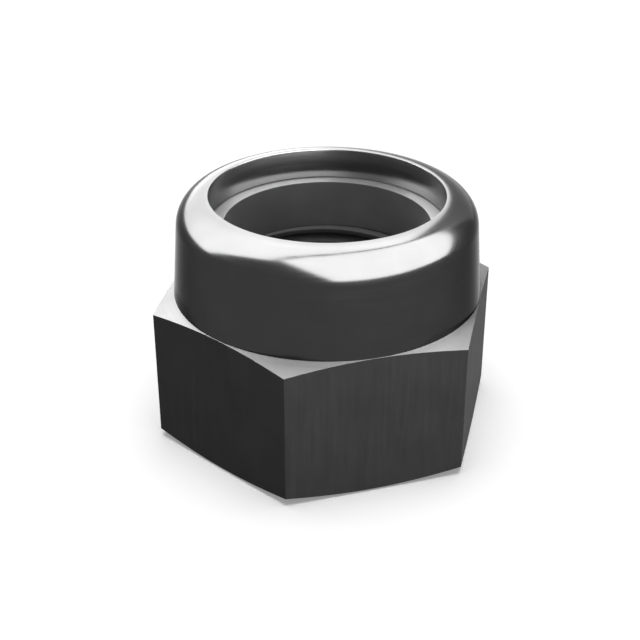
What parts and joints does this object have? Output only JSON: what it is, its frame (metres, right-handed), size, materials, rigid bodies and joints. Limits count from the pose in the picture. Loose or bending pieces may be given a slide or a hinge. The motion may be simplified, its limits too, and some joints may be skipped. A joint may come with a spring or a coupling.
{
  "type": "hex lock nut",
  "caption": "Hexagon lock nut with a round crimped collar that holds a plastic locking ring above a fine thread.",
  "frame": {"origin": "centre of the bearing face, which the nut stands on", "axes": "+Z along the thread, from the bearing face to the collar; +X through a corner of the hexagon, +Y square to a flat"},
  "size_m": [0.037, 0.032, 0.0257],
  "materials": {
    "dark_steel": "black oxide: burnished collar, turned chamfers and dull drawn flats",
    "ring_plastic": "moulded polyamide, satin dark grey"
  },
  "bodies": {
    "root": {"nut_body": "dark_steel", "insert_ring": "ring_plastic"}
  },
  "joints": []
}
